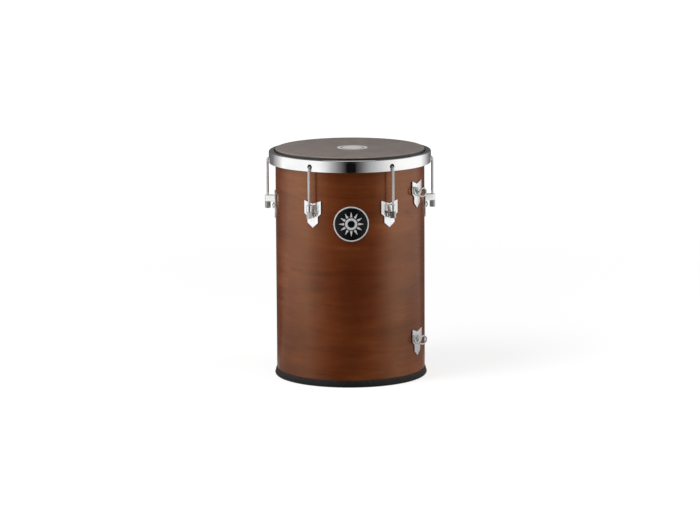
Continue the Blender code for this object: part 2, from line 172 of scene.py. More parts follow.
def arc(centre, radius, start, end, steps):
    """Points on a circle's arc, between two angles in degrees."""
    turns = [radians(start + (end - start) * step / steps) for step in range(steps + 1)]
    return [(centre[0] + radius * cos(turn), centre[1] + radius * sin(turn)) for turn in turns]


def rounded(points, radius, steps=4):
    """A closed outline with its corners rounded. The radius is one number, or one for each corner."""
    radii = [radius] * len(points) if isinstance(radius, float) else radius
    outline = []
    for number, (point, wanted) in enumerate(zip(points, radii)):
        corner = Vector(point)
        back = Vector(points[number - 1]) - corner
        ahead = Vector(points[(number + 1) % len(points)]) - corner
        half = back.angle(ahead) / 2
        if wanted == 0 or pi / 2 - half < 0.01:
            outline.append(tuple(corner))
            continue
        reach = min(wanted / tan(half), back.length * 0.49, ahead.length * 0.49)
        back.normalize()
        ahead.normalize()
        centre = corner + (back + ahead).normalized() * (reach / cos(half))
        start = corner + back * reach - centre
        end = corner + ahead * reach - centre
        sweep = atan2(start.x * end.y - start.y * end.x, start.dot(end))
        for step in range(steps + 1):
            outline.append(tuple(centre + Matrix.Rotation(sweep * step / steps, 2) @ start))
    return outline


# Meshes


def mesh_from(bm, name, crease=35):
    """The mesh of a closed bmesh, smooth but for its edges that fold more than the crease."""
    bmesh.ops.recalc_face_normals(bm, faces=bm.faces)
    mesh = bpy.data.meshes.new(name)
    bm.to_mesh(mesh)
    bm.free()
    mesh.shade_smooth()
    mesh.set_sharp_from_angle(angle=radians(crease))
    return mesh


def skinned(name, rings, closed=False, crease=35):
    """A tube through rings of points, with flat ends, or joined end to end where it is closed."""
    bm = bmesh.new()
    rows = [[bm.verts.new(point) for point in ring] for ring in rings]
    pairs = list(zip(rows, rows[1:])) + ([(rows[-1], rows[0])] if closed else [])
    for here, there in pairs:
        for side in range(len(here)):
            ahead = (side + 1) % len(here)
            bm.faces.new((here[side], here[ahead], there[ahead], there[side]))
    if not closed:
        bm.faces.new(rows[0])
        bm.faces.new(rows[-1])
    return mesh_from(bm, name, crease)


def turned(name, profile, sides=64, crease=35):
    """Turns an outline of (radius, height) points about Z. It is closed on the axis or on itself."""
    on_axis = profile[0][0] == 0
    rings = []
    for turn in round_turns(sides):
        rings.append([(radius * cos(turn), radius * sin(turn), height) for radius, height in profile])
    bm = bmesh.new()
    rows = [[bm.verts.new(point) for point in ring] for ring in rings]
    count = len(profile)
    for here, there in zip(rows, rows[1:] + rows[:1]):
        for step in range(count - 1 if on_axis else count):
            ahead = (step + 1) % count
            bm.faces.new((here[step], there[step], there[ahead], here[ahead]))
    bmesh.ops.remove_doubles(bm, verts=bm.verts, dist=1e-7)
    return mesh_from(bm, name, crease)


def pin(name, radius, near, far, sides=32):
    """A round pin along Z."""
    return turned(name, [(0, near), (radius, near), (radius, far), (0, far)], sides)


def extruded(name, outline, height, bottom=0.0):
    """A flat outline in XY, raised along Z."""
    bm = bmesh.new()
    face = bm.faces.new([bm.verts.new((across, along, bottom)) for across, along in outline])
    raised = bmesh.ops.extrude_face_region(bm, geom=[face])["geom"]
    top = [item for item in raised if isinstance(item, bmesh.types.BMVert)]
    bmesh.ops.translate(bm, verts=top, vec=(0, 0, height))
    return mesh_from(bm, name)


def placed(name, data):
    """A new object in the scene."""
    thing = bpy.data.objects.new(name, data)
    bpy.context.scene.collection.objects.link(thing)
    return thing


def finished_mesh(thing):
    """The mesh of an object with its modifiers applied, or of a curve with its thickness."""
    bpy.context.view_layer.update()
    graph = bpy.context.evaluated_depsgraph_get()
    return bpy.data.meshes.new_from_object(thing.evaluated_get(graph))


def combined(mesh, other, operation, crease=35):
    """A new mesh: the first with the second cut out of it, joined to it or met with it."""
    body = placed(mesh.name, mesh)
    tool = placed(other.name, other)
    boolean = body.modifiers.new("shape", "BOOLEAN")
    boolean.operation = operation
    boolean.object = tool
    whole = finished_mesh(body)
    for helper in (body, tool):
        bpy.data.objects.remove(helper)
    whole.set_sharp_from_angle(angle=radians(crease))
    return whole


def softened(mesh, width, wanted, steps=2):
    """The mesh with those folded edges rounded whose middle the wanted() test picks."""
    bm = bmesh.new()
    bm.from_mesh(mesh)
    shared = [edge for edge in bm.edges if len(edge.link_faces) == 2]
    folded = [edge for edge in shared if edge.calc_face_angle() > radians(40)]
    picked = [edge for edge in folded if wanted((edge.verts[0].co + edge.verts[1].co) / 2)]
    bmesh.ops.bevel(bm, geom=picked, offset=width, segments=steps, profile=0.5, affect="EDGES")
    return mesh_from(bm, mesh.name)


def turn_to(azimuth):
    return Matrix.Rotation(radians(azimuth), 4, "Z")


def facing_out(azimuth, height):
    """A frame on the drum's axis whose Z points out at the azimuth."""
    return turn_to(azimuth) @ Matrix.Translation((0, 0, height)) @ ALONG_RADIUS


def joined(name, parts):
    """One mesh of several (mesh, matrix) parts, each moved to its place."""
    bm = bmesh.new()
    for part, matrix in parts:
        copy = part.copy()
        copy.transform(matrix)
        bm.from_mesh(copy)
        bpy.data.meshes.remove(copy)
    return mesh_from(bm, name)


def wrapped(mesh, back):
    """Bends what lies flat in XZ, its thickness towards -Y, round the drum, its back at a radius."""
    for vert in mesh.vertices:
        angle = vert.co.x / back
        radius = back - vert.co.y
        vert.co = Vector((radius * sin(angle), -radius * cos(angle), vert.co.z))
    return mesh


def sliced(mesh, width, spacing):
    """Cuts the mesh at even steps across X, so that it bends smoothly."""
    bm = bmesh.new()
    bm.from_mesh(mesh)
    columns = int(width / spacing)
    for column in range(-columns, columns + 1):
        everything = bm.verts[:] + bm.edges[:] + bm.faces[:]
        across = Vector((column * spacing, 0, 0))
        bmesh.ops.bisect_plane(bm, geom=everything, plane_co=across, plane_no=(1, 0, 0))
    return mesh_from(bm, mesh.name)


def add(name, mesh, materials, body, nodes, matrix=None):
    """A piece in its place, riding on its body and standing for its solids in the frame."""
    shape = mesh.copy()
    shape.name = name
    if matrix is not None:
        shape.transform(matrix)
    shape.materials.clear()
    for material in materials if isinstance(materials, list) else [materials]:
        shape.materials.append(material)
    # The frame's node holds the plain name, so the finer piece is told apart from it
    piece = placed(f"{name}_made", shape)
    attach(piece, body)
    if nodes:
        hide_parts(*nodes)
    return piece


# Nodes


def put(tree, kind, inputs=None, **settings):
    """A node with its settings, its inputs given as values or as the sockets that feed them."""
    node = tree.nodes.new(kind)
    for name, value in settings.items():
        setattr(node, name, value)
    for name, value in (inputs or {}).items():
        if isinstance(value, bpy.types.NodeSocket):
            tree.links.new(value, node.inputs[name])
        else:
            node.inputs[name].default_value = value
    return node


def sum_of(tree, operation, *values):
    """A Math node's result."""
    return put(tree, "ShaderNodeMath", dict(enumerate(values)), operation=operation).outputs[0]


def vector_of(tree, operation, *values):
    """A Vector Math node's outputs."""
    return put(tree, "ShaderNodeVectorMath", dict(enumerate(values)), operation=operation).outputs


def own_place(tree):
    """The place on the surface, in the piece's own coordinates."""
    return put(tree, "ShaderNodeTexCoord").outputs["Object"]


def noise(tree, place, scale, detail=3.0, roughness=0.55, distortion=0.0):
    inputs = {"Vector": place, "Scale": scale, "Detail": detail}
    inputs |= {"Roughness": roughness, "Distortion": distortion}
    return put(tree, "ShaderNodeTexNoise", inputs).outputs["Fac"]


def stretched(tree, place, scales):
    """The place with each axis scaled by itself."""
    return put(tree, "ShaderNodeMapping", {"Vector": place, "Scale": scales}).outputs[0]


def spread(tree, value, low, high, to_low=0.0, to_high=1.0):
    """Takes low..high to another range and holds it there."""
    inputs = {"Value": value, "From Min": low, "From Max": high, "To Min": to_low, "To Max": to_high}
    return put(tree, "ShaderNodeMapRange", inputs).outputs[0]


def mixed(tree, share, first, second, blend="MIX"):
    """A colour between two colours."""
    node = put(tree, "ShaderNodeMix", {0: share, 6: first, 7: second}, data_type="RGBA", blend_type=blend)
    return node.outputs[2]


def toned(tree, value, stops):
    """A colour ramp through (position, colour) stops."""
    node = put(tree, "ShaderNodeValToRGB", {"Fac": value})
    elements = node.color_ramp.elements
    while len(elements) < len(stops):
        elements.new(0.5)
    for element, (position, colour) in zip(elements, stops):
        element.position = position
        element.color = (*colour, 1)
    return node.outputs["Color"]


def new_group(name, inputs, outputs):
    """An empty node group with float inputs, given with their defaults, and named outputs."""
    tree = bpy.data.node_groups.new(name, "ShaderNodeTree")
    for label, value in inputs.items():
        socket = tree.interface.new_socket(label, in_out="INPUT", socket_type="NodeSocketFloat")
        socket.default_value = value
    for label in outputs:
        tree.interface.new_socket(label, in_out="OUTPUT", socket_type="NodeSocketFloat")
    entry = tree.nodes.new("NodeGroupInput")
    end = tree.nodes.new("NodeGroupOutput")
    return tree, entry.outputs, end.inputs


def grain_group():
    """Wood grain that runs round the drum: veneer tone, soft blotches, dark streaks and open pores."""
    inputs = {"Figure": 1.0, "Streaks": 1.0, "Pores": 1.0}
    tree, given, result = new_group("wood_grain", inputs, ("Tone", "Streaks", "Height"))
    place = own_place(tree)
    drift = noise(tree, stretched(tree, place, (4.0, 4.0, 7.0)), 1.0, 2.0)
    bands = noise(tree, stretched(tree, place, (5.0, 5.0, 38.0)), 1.0, 4.0, 0.6, 0.5)
    fibres = noise(tree, stretched(tree, place, (22.0, 22.0, 420.0)), 1.0, 4.0, 0.65)
    clouds = noise(tree, stretched(tree, place, (11.0, 11.0, 16.0)), 1.0, 3.0)
    figure = sum_of(tree, "MULTIPLY_ADD", spread(tree, bands, 0.3, 0.7, -0.5, 0.5), 0.55, 0.5)
    figure = sum_of(tree, "MULTIPLY_ADD", spread(tree, clouds, 0.3, 0.7, -0.5, 0.5), 0.45, figure)
    figure = sum_of(tree, "MULTIPLY_ADD", spread(tree, drift, 0.3, 0.7, -0.5, 0.5), 0.35, figure)
    figure = sum_of(tree, "MULTIPLY_ADD", sum_of(tree, "SUBTRACT", figure, 0.5), given["Figure"], 0.5)
    tone = sum_of(tree, "MULTIPLY_ADD", spread(tree, fibres, 0.3, 0.7, -0.5, 0.5), 0.16, figure)
    tree.links.new(tone, result["Tone"])
    flow = noise(tree, stretched(tree, place, (9.0, 9.0, 70.0)), 1.0, 3.0, 0.6, 1.2)
    patches = noise(tree, stretched(tree, place, (7.0, 7.0, 9.0)), 1.0, 2.0)
    streak = sum_of(tree, "MULTIPLY", spread(tree, flow, 0.60, 0.72), spread(tree, patches, 0.48, 0.62))
    tree.links.new(sum_of(tree, "MULTIPLY", streak, given["Streaks"]), result["Streaks"])
    pore = noise(tree, stretched(tree, place, (160.0, 160.0, 2600.0)), 1.0, 2.0)
    pits = sum_of(tree, "MULTIPLY", spread(tree, pore, 0.66, 0.74, 0.0, -1.0), given["Pores"])
    height = sum_of(tree, "MULTIPLY_ADD", fibres, 0.35, pits)
    tree.links.new(height, result["Height"])
    return tree


def handling_group():
    """Marks of handling: thin scratches, and smudges that dull a surface in soft patches."""
    inputs = {"Scratch Scale": 60.0, "Smudge Scale": 30.0}
    tree, given, result = new_group("handling_marks", inputs, ("Scratches", "Smudges"))
    place = own_place(tree)
    lines = noise(tree, place, given["Scratch Scale"], 1.0, 0.4, 2.5)
    off_line = sum_of(tree, "ABSOLUTE", sum_of(tree, "SUBTRACT", lines, 0.5))
    where = noise(tree, place, sum_of(tree, "MULTIPLY", given["Scratch Scale"], 0.5), 2.0)
    scratch = spread(tree, off_line, 0.0, 0.004, 1.0, 0.0)
    scratches = sum_of(tree, "MULTIPLY", scratch, spread(tree, where, 0.5, 0.6))
    smudges = spread(tree, noise(tree, place, given["Smudge Scale"], 4.0), 0.42, 0.66)
    tree.links.new(scratches, result["Scratches"])
    tree.links.new(smudges, result["Smudges"])
    return tree


def edge_group():
    """Edges that hands and cloths have rubbed, and the hollow corners between pieces, which hold grime
    and take painted shade.
    """
    inputs = {"Edge": 0.56, "Corner": 0.44, "Breakup": 120.0}
    tree, given, result = new_group("edge_rub", inputs, ("Rubbed", "Grime_And_Shade"))
    place = own_place(tree)
    bend = put(tree, "ShaderNodeNewGeometry").outputs["Pointiness"]
    breakup = spread(tree, noise(tree, place, given["Breakup"], 4.0), 0.35, 0.65, -0.03, 0.03)
    bend = sum_of(tree, "ADD", bend, breakup)
    edge = spread(tree, bend, given["Edge"], sum_of(tree, "ADD", given["Edge"], 0.06))
    corner = spread(tree, bend, given["Corner"], sum_of(tree, "SUBTRACT", given["Corner"], 0.06))
    tree.links.new(edge, result["Rubbed"])
    tree.links.new(corner, result["Grime_And_Shade"])
    return tree


def dust_group():
    """Dust that settles on what faces up, in uneven patches."""
    tree, given, result = new_group("settled_dust", {"Amount": 0.1, "Scale": 25.0}, ("Dust",))
    place = own_place(tree)
    facing = put(tree, "ShaderNodeSeparateXYZ", {0: put(tree, "ShaderNodeNewGeometry").outputs["Normal"]})
    upward = spread(tree, facing.outputs["Z"], 0.2, 1.0)
    patches = spread(tree, noise(tree, place, given["Scale"], 5.0, 0.65), 0.3, 0.7, 0.35, 1.0)
    dust = sum_of(tree, "MULTIPLY", sum_of(tree, "MULTIPLY", upward, patches), given["Amount"])
    tree.links.new(dust, result["Dust"])
    return tree


def pebble_group():
    """A fine pebbled skin, as on coated film and moulded rubber."""
    inputs = {"Scale": 900.0, "Mottle": 40.0}
    tree, given, result = new_group("pebbled_skin", inputs, ("Height", "Mottle"))
    place = own_place(tree)
    cells = put(tree, "ShaderNodeTexVoronoi", {"Vector": place, "Scale": given["Scale"]})
    grit = noise(tree, place, sum_of(tree, "MULTIPLY", given["Scale"], 1.7), 2.0)
    grit = sum_of(tree, "MULTIPLY", grit, 0.5)
    height = sum_of(tree, "MULTIPLY_ADD", cells.outputs["Distance"], 0.7, grit)
    mottle = spread(tree, noise(tree, place, given["Mottle"], 6.0, 0.62), 0.3, 0.7)
    tree.links.new(height, result["Height"])
    tree.links.new(mottle, result["Mottle"])
    return tree


GRAIN = grain_group()
HANDLING = handling_group()
EDGES = edge_group()
DUST = dust_group()
PEBBLE = pebble_group()


def use(tree, group, **values):
    """Places a node group with this material's own values, and gives its outputs."""
    node = put(tree, "ShaderNodeGroup", node_tree=group)
    for name, value in values.items():
        node.inputs[name.replace("_", " ").title()].default_value = value
    return node.outputs


def bumped(tree, height, strength, distance):
    inputs = {"Height": height, "Strength": strength, "Distance": distance}
    return put(tree, "ShaderNodeBump", inputs).outputs["Normal"]


def finish(name):
    """A new material, its node tree and its shader."""
    material = bpy.data.materials.new(name)
    material.use_nodes = True
    tree = material.node_tree
    return material, tree, tree.nodes["Principled BSDF"]


def feed(tree, shader, **sockets):
    """Sets the shader's sockets: links what varies, and sets what is the same all over."""
    for name, value in sockets.items():
        socket = shader.inputs[name.replace("_", " ")]
        if isinstance(value, bpy.types.NodeSocket):
            tree.links.new(value, socket)
        else:
            socket.default_value = value


# Finishes


def varnished_wood():
    """Dark red-brown stain under satin varnish."""
    material, tree, shader = finish("varnished_wood")
    grain = use(tree, GRAIN, figure=1.0, streaks=1.0, pores=1.0)
    marks = use(tree, HANDLING, scratch_scale=9.0, smudge_scale=7.0)
    stops = [(0.0, (0.098, 0.0215, 0.0068)), (0.35, (0.140, 0.0330, 0.0098))]
    stops += [(0.62, (0.168, 0.0415, 0.0122)), (1.0, (0.238, 0.0650, 0.0180))]
    colour = toned(tree, grain["Tone"], stops)
    streaks = sum_of(tree, "MULTIPLY", grain["Streaks"], 0.55)
    colour = mixed(tree, streaks, colour, (0.058, 0.0140, 0.0050, 1))
    rough = spread(tree, marks["Smudges"], 0.0, 1.0, 0.17, 0.22)
    rough = sum_of(tree, "MULTIPLY_ADD", marks["Scratches"], 0.08, rough)
    # The varnish shines in a broad band on each side, and little straight on or at the very edge
    aside = put(tree, "ShaderNodeLayerWeight", {"Blend": 0.5}).outputs["Facing"]
    rising = spread(tree, aside, 0.05, 0.20, 0.10, 1.0)
    falling = spread(tree, aside, 0.3, 0.7, 1.0, 0.05)
    shine = sum_of(tree, "MULTIPLY", rising, falling)
    feed(tree, shader, Base_Color=colour, Roughness=rough, IOR=1.65, Metallic=0.25)
    feed(tree, shader, Specular_Tint=(1.0, 0.72, 0.48, 1), Specular_IOR_Level=shine)
    feed(tree, shader, Normal=bumped(tree, grain["Height"], 0.25, 0.00012))
    return material


def bare_wood():
    """The unvarnished inside of the shell."""
    material, tree, shader = finish("bare_wood")
    grain = use(tree, GRAIN, figure=0.8, streaks=0.7, pores=1.0)
    stops = [(0.0, (0.27, 0.15, 0.075)), (0.5, (0.40, 0.245, 0.13)), (1.0, (0.52, 0.35, 0.20))]
    colour = toned(tree, grain["Tone"], stops)
    streaks = sum_of(tree, "MULTIPLY", grain["Streaks"], 0.5)
    colour = mixed(tree, streaks, colour, (0.18, 0.09, 0.045, 1))
    feed(tree, shader, Base_Color=colour, Roughness=spread(tree, grain["Tone"], 0.0, 1.0, 0.62, 0.75))
    feed(tree, shader, Normal=bumped(tree, grain["Height"], 0.5, 0.0002))
    return material


def black_rubber():
    material, tree, shader = finish("black_rubber")
    skin = use(tree, PEBBLE, scale=1500.0, mottle=35.0)
    dust = use(tree, DUST, amount=0.05, scale=40.0)
    edges = use(tree, EDGES, edge=0.55, corner=0.44, breakup=150.0)
    colour = mixed(tree, skin["Mottle"], (0.009, 0.0078, 0.0075, 1), (0.015, 0.0130, 0.0125, 1))
    rubbed = sum_of(tree, "MULTIPLY", edges["Rubbed"], 0.4)
    colour = mixed(tree, rubbed, colour, (0.035, 0.031, 0.030, 1))
    colour = mixed(tree, dust["Dust"], colour, (0.30, 0.27, 0.24, 1))
    rough = spread(tree, skin["Mottle"], 0.0, 1.0, 0.55, 0.68)
    feed(tree, shader, Base_Color=colour, Roughness=rough, Specular_IOR_Level=0.3)
    feed(tree, shader, Normal=bumped(tree, skin["Height"], 0.35, 0.0001))
    return material


def metal(name, dark, light, roughness, spread_out, orange_peel):
    """Plated or polished metal: smudges dull it, edges are rubbed smoother, hollow corners are darkened
    for grime and as painted shade.
    """
    material, tree, shader = finish(name)
    marks = use(tree, HANDLING, scratch_scale=70.0, smudge_scale=22.0)
    edges = use(tree, EDGES, edge=0.57, corner=0.42, breakup=260.0)
    colour = mixed(tree, marks["Smudges"], light, dark)
    # Painted shade and grime: hollow corners between pieces are mixed towards dark grey
    colour = mixed(tree, sum_of(tree, "MULTIPLY", edges["Grime_And_Shade"], 0.35), colour, (0.12, 0.11, 0.10, 1))
    rough = spread(tree, marks["Smudges"], 0.0, 1.0, roughness, roughness + spread_out)
    rough = sum_of(tree, "MULTIPLY_ADD", marks["Scratches"], 0.12, rough)
    rough = sum_of(tree, "MULTIPLY_ADD", edges["Rubbed"], -0.3 * roughness, rough)
    place = own_place(tree)
    height = noise(tree, place, 450.0, 2.0)
    feed(tree, shader, Base_Color=colour, Roughness=rough, Metallic=1.0)
    feed(tree, shader, Normal=bumped(tree, height, orange_peel, 0.00005))
    return material


def head_film():
    """Grey-brown coated film, with a plain round print at its middle: a white disc with a ring in it."""
    material, tree, shader = finish("head_film")
    skin = use(tree, PEBBLE, scale=1100.0, mottle=28.0)
    dust = use(tree, DUST, amount=0.06, scale=18.0)
    colour = mixed(tree, skin["Mottle"], (0.232, 0.191, 0.175, 1), (0.300, 0.254, 0.235, 1))
    colour = mixed(tree, dust["Dust"], colour, (0.50, 0.47, 0.44, 1))
    place = own_place(tree)
    shifted = vector_of(tree, "SUBTRACT", place, PRINT_CENTRE)[0]
    flat = vector_of(tree, "MULTIPLY", shifted, (1, 1, 0))[0]
    out = vector_of(tree, "LENGTH", flat)["Value"]
    ink = spread(tree, out, PRINT_RADIUS - INK_EDGE, PRINT_RADIUS, 1.0, 0.0)
    line = sum_of(tree, "ABSOLUTE", sum_of(tree, "SUBTRACT", out, PRINT_LINE_RADIUS))
    bare = spread(tree, line, PRINT_LINE / 2, PRINT_LINE / 2 + INK_EDGE, 1.0, 0.0)
    ink = sum_of(tree, "MULTIPLY", ink, sum_of(tree, "SUBTRACT", 1.0, bare))
    ink = sum_of(tree, "MULTIPLY", ink, spread(tree, skin["Mottle"], 0.0, 1.0, 0.97, 1.0))
    colour = mixed(tree, ink, colour, (0.86, 0.86, 0.85, 1))
    height = put(tree, "ShaderNodeSeparateXYZ", {0: place}).outputs["Z"]
    # Painted shade: the film's collar below the bend is darkened to near black, as if in shade under the
    # hoop
    painted_collar_shade = spread(tree, height, HEAD_TOP - COLLAR_FULL_SHADE, HEAD_TOP - COLLAR_PALE, 1.0, 0.0)
    colour = mixed(tree, painted_collar_shade, colour, (0.020, 0.017, 0.016, 1))
    rough = sum_of(tree, "MULTIPLY_ADD", ink, -0.08, spread(tree, skin["Mottle"], 0.0, 1.0, 0.50, 0.60))
    # The film is smoother where it is stretched over its bend
    bend = spread(tree, height, HEAD_TOP - COLLAR_FULL_SHADE, HEAD_TOP - BEND_START, -0.25, 0.0)
    rough = sum_of(tree, "ADD", rough, bend)
    feed(tree, shader, Base_Color=colour, Roughness=rough)
    feed(tree, shader, Normal=bumped(tree, skin["Height"], 0.35, 0.00012))
    return material


def silver_paint():
    """Bright paint with fine metal flake in it, on the badge."""
    material, tree, shader = finish("silver_paint")
    marks = use(tree, HANDLING, scratch_scale=90.0, smudge_scale=50.0)
    place = own_place(tree)
    flake = noise(tree, place, 5200.0, 2.0, 0.7)
    colour = mixed(tree, spread(tree, flake, 0.35, 0.65), (0.66, 0.66, 0.67, 1), (0.80, 0.80, 0.81, 1))
    rough = spread(tree, marks["Smudges"], 0.0, 1.0, 0.36, 0.46)
    rough = sum_of(tree, "MULTIPLY_ADD", marks["Scratches"], 0.1, rough)
    feed(tree, shader, Base_Color=colour, Roughness=rough, Metallic=0.25)
    feed(tree, shader, Normal=bumped(tree, flake, 0.12, 0.00004))
    return material


def black_enamel():
    material, tree, shader = finish("black_enamel")
    marks = use(tree, HANDLING, scratch_scale=80.0, smudge_scale=45.0)
    colour = mixed(tree, marks["Smudges"], (0.004, 0.004, 0.0045, 1), (0.008, 0.008, 0.009, 1))
    rough = spread(tree, marks["Smudges"], 0.0, 1.0, 0.16, 0.24)
    rough = sum_of(tree, "MULTIPLY_ADD", marks["Scratches"], 0.15, rough)
    place = own_place(tree)
    feed(tree, shader, Base_Color=colour, Roughness=rough)
    feed(tree, shader, Normal=bumped(tree, noise(tree, place, 300.0, 2.0), 0.1, 0.00005))
    return material


# How far below its top the head's film starts to bend, is still unshaded, and is fully darkened by the
# painted shade of its collar
BEND_START = 0.0001
COLLAR_PALE = 0.0012
COLLAR_FULL_SHADE = 0.0026

# Print on the head
PRINT_CENTRE = Vector((0.005, -0.004, 0))
PRINT_RADIUS = 0.0310
PRINT_LINE_RADIUS = 0.0225
PRINT_LINE = 0.0030
INK_EDGE = 0.0002

WOOD = varnished_wood()
INSIDE_WOOD = bare_wood()
RUBBER = black_rubber()
CHROME = metal("chrome", (0.84, 0.845, 0.85, 1), (0.93, 0.93, 0.925, 1), 0.045, 0.05, 0.03)
PLATED = metal("plated_sheet", (0.86, 0.86, 0.86, 1), (0.94, 0.94, 0.94, 1), 0.16, 0.06, 0.08)
ZINC = metal("zinc_steel", (0.62, 0.625, 0.62, 1), (0.74, 0.745, 0.74, 1), 0.24, 0.08, 0.15)
SATIN = metal("satin_steel", (0.60, 0.60, 0.59, 1), (0.74, 0.74, 0.73, 1), 0.20, 0.08, 0.10)
# Painted shade: the tension nuts and lug loops are chrome, given darker copies of it that stand in for
# the dark surroundings they reflect
SHADED_NUT_CHROME = metal("shaded_nut_chrome", (0.45, 0.45, 0.44, 1), (0.58, 0.58, 0.57, 1), 0.30, 0.08, 0.10)
SHADED_LOOP_CHROME = metal("shaded_loop_chrome", (0.74, 0.74, 0.73, 1), (0.86, 0.86, 0.85, 1), 0.11, 0.05, 0.08)
ALLOY = metal("aluminium", (0.60, 0.60, 0.60, 1), (0.70, 0.70, 0.70, 1), 0.32, 0.10, 0.20)
FILM_FINISH = head_film()
ENAMEL = black_enamel()
SILVER = silver_paint()


# Shell and ring


SHELL_SIDES = 192
HOOP_SIDES = 256


def radial_pins(name, places, radius, near, far):
    """Round pins that point out from the drum's axis, one for each (azimuth, height)."""
    one = pin(name, radius, near, far)
    return joined(name, [(one, facing_out(azimuth, height)) for azimuth, height in places])


def strap_studs():
    """(azimuth, height) of each stud that holds a strap plate."""
    names = [f"strap_nut_{place}_{number}" for place in STRAP_TOPS for number in (1, 2)]
    return [(STRAP_AZIMUTH, middle(name).z) for name in names]


def shell():
    corner = (SHELL_RADIUS - EDGE_ROUND, SHELL_TOP - EDGE_ROUND)
    bevel = SHELL_WALL - EDGE_ROUND
    profile = [(SHELL_RADIUS, SHELL_BOTTOM), *arc(corner, EDGE_ROUND, 0, 90, 12)]
    profile += [(SHELL_INSIDE, SHELL_TOP - bevel), (SHELL_INSIDE, SHELL_BOTTOM)]
    near, far = SHELL_INSIDE - SHELL_WALL, SHELL_RADIUS + SHELL_WALL
    heights = (BOLT_HEIGHT, STUD_HEIGHT)
    places = [(azimuth, height) for azimuth in LUG_AZIMUTHS.values() for height in heights]
    holes = radial_pins("shell_holes", places + strap_studs(), BOLT_RADIUS + GAP, near, far)
    mesh = combined(turned("shell", profile, SHELL_SIDES), holes, "DIFFERENCE")
    piece = add("shell", mesh, [WOOD, INSIDE_WOOD], "drum", ["shell"])
    for face in piece.data.polygons:
        radius = hypot(*face.center.xy)
        inward = face.normal.xy.dot(face.center.xy) < -0.5 * radius
        face.material_index = 1 if inward and radius < SHELL_RADIUS - EDGE_ROUND else 0


def bottom_ring():
    bulge = SHELL_RADIUS + RING_BULGE
    lip_inside = SHELL_RADIUS + GAP
    inner = SHELL_INSIDE - GAP
    inner_face = inner - RING_INNER_LIP
    web = SHELL_BOTTOM - GAP
    profile = [(inner_face, 0), *arc((bulge - RING_ROUND, RING_ROUND), RING_ROUND, -90, 0, 10)]
    profile += [(lip_inside + RING_LIP_TOP, RING_HEIGHT), (lip_inside, RING_HEIGHT)]
    profile += [(lip_inside, web), (inner, web)]
    profile += [(inner, RING_INNER_LIP_HEIGHT), (inner_face, RING_INNER_LIP_HEIGHT)]
    mesh = turned("ring", profile, SHELL_SIDES)
    add("bottom_ring", mesh, RUBBER, "drum", ["bottom_ring"])


# Head and hoops


def drumhead():
    """The film runs flat over the shell, down its outside and out into the flesh hoop's groove."""
    centre = (SHELL_RADIUS - EDGE_ROUND, SHELL_TOP - EDGE_ROUND)
    under_bend = EDGE_ROUND + GAP
    lip_top = LIP_MIDDLE + FILM / 2
    lip_end = COLLAR_OUTSIDE + LIP_REACH
    profile = [(0, HEAD_TOP), *reversed(arc(centre, under_bend + FILM, 0, 90, 16))]
    profile += [(COLLAR_OUTSIDE, lip_top), (lip_end, lip_top)]
    profile += [(lip_end, lip_top - FILM), (COLLAR_INSIDE, lip_top - FILM)]
    profile += [*arc(centre, under_bend, 0, 90, 16), (0, FILM_UNDERSIDE)]
    mesh = turned("film", profile, HOOP_SIDES)
    add("drumhead", mesh, FILM_FINISH, "head_assembly", ["drumhead"])


def flesh_hoop():
    groove = FILM / 2 + GAP
    inside = COLLAR_OUTSIDE + GAP
    groove_end = FLESH_OUTSIDE - GROOVE_FLOOR
    profile = [(inside, FLESH_BOTTOM), (FLESH_OUTSIDE, FLESH_BOTTOM), (FLESH_OUTSIDE, FLESH_TOP)]
    profile += [(inside, FLESH_TOP), (inside, LIP_MIDDLE + groove)]
    profile += [(groove_end, LIP_MIDDLE + groove), (groove_end, LIP_MIDDLE - groove)]
    profile += [(inside, LIP_MIDDLE - groove)]
    mesh = turned("flesh_hoop", rounded(profile, [0.0012] * 4 + [0.0002] * 4, 6), HOOP_SIDES)
    add("flesh_hoop", mesh, ALLOY, "head_assembly", ["flesh_hoop"])


def true_round(mesh, inner, outer, slack):
    """Gives the straight walls of a turned and drilled mesh the normals of true cylinders."""
    normals = [Vector((0, 0, 0))] * len(mesh.loops)
    for face in mesh.polygons:
        for loop in face.loop_indices:
            place = mesh.vertices[mesh.loops[loop].vertex_index].co
            radial = Vector((place.x, place.y, 0)).normalized()
            side = face.normal.dot(radial)
            radius = hypot(place.x, place.y)
            if side > 0.95 and radius > outer - slack:
                normals[loop] = radial
            elif side < -0.95 and radius < inner + slack:
                normals[loop] = -radial
    mesh.normals_split_custom_set(normals)


def counter_hoop():
    under = HOOP_TOP - HOOP_SHEET
    profile = [(HOOP_INSIDE, HOOP_BOTTOM), (HOOP_OUTSIDE, HOOP_BOTTOM), (HOOP_OUTSIDE, HOOP_TOP)]
    profile += [(FLANGE_INSIDE, HOOP_TOP), (FLANGE_INSIDE, under), (HOOP_INSIDE, under)]
    edge = 0.0008
    outline = rounded(profile, [edge, edge, HOOP_CORNER, edge, edge, edge], 8)
    near, far = HOOP_INSIDE - HOOP_SHEET, HOOP_OUTSIDE + HOOP_SHEET
    flare = 0.0005
    drill = [(0, near), (HOLE_RADIUS, near), (HOLE_RADIUS, HOOP_OUTSIDE - flare)]
    drill += [(HOLE_RADIUS + flare, HOOP_OUTSIDE + flare / 5), (HOLE_RADIUS + flare, far), (0, far)]
    tool = turned("drill", drill, 40)
    places = [(tool, facing_out(azimuth, HOLE_HEIGHT)) for azimuth in LUG_AZIMUTHS.values()]
    mesh = combined(turned("hoop", outline, HOOP_SIDES), joined("drills", places), "DIFFERENCE")
    true_round(mesh, HOOP_INSIDE, HOOP_OUTSIDE, 0.0001)
    add("counter_hoop", mesh, CHROME, "head_assembly", ["counter_hoop"])


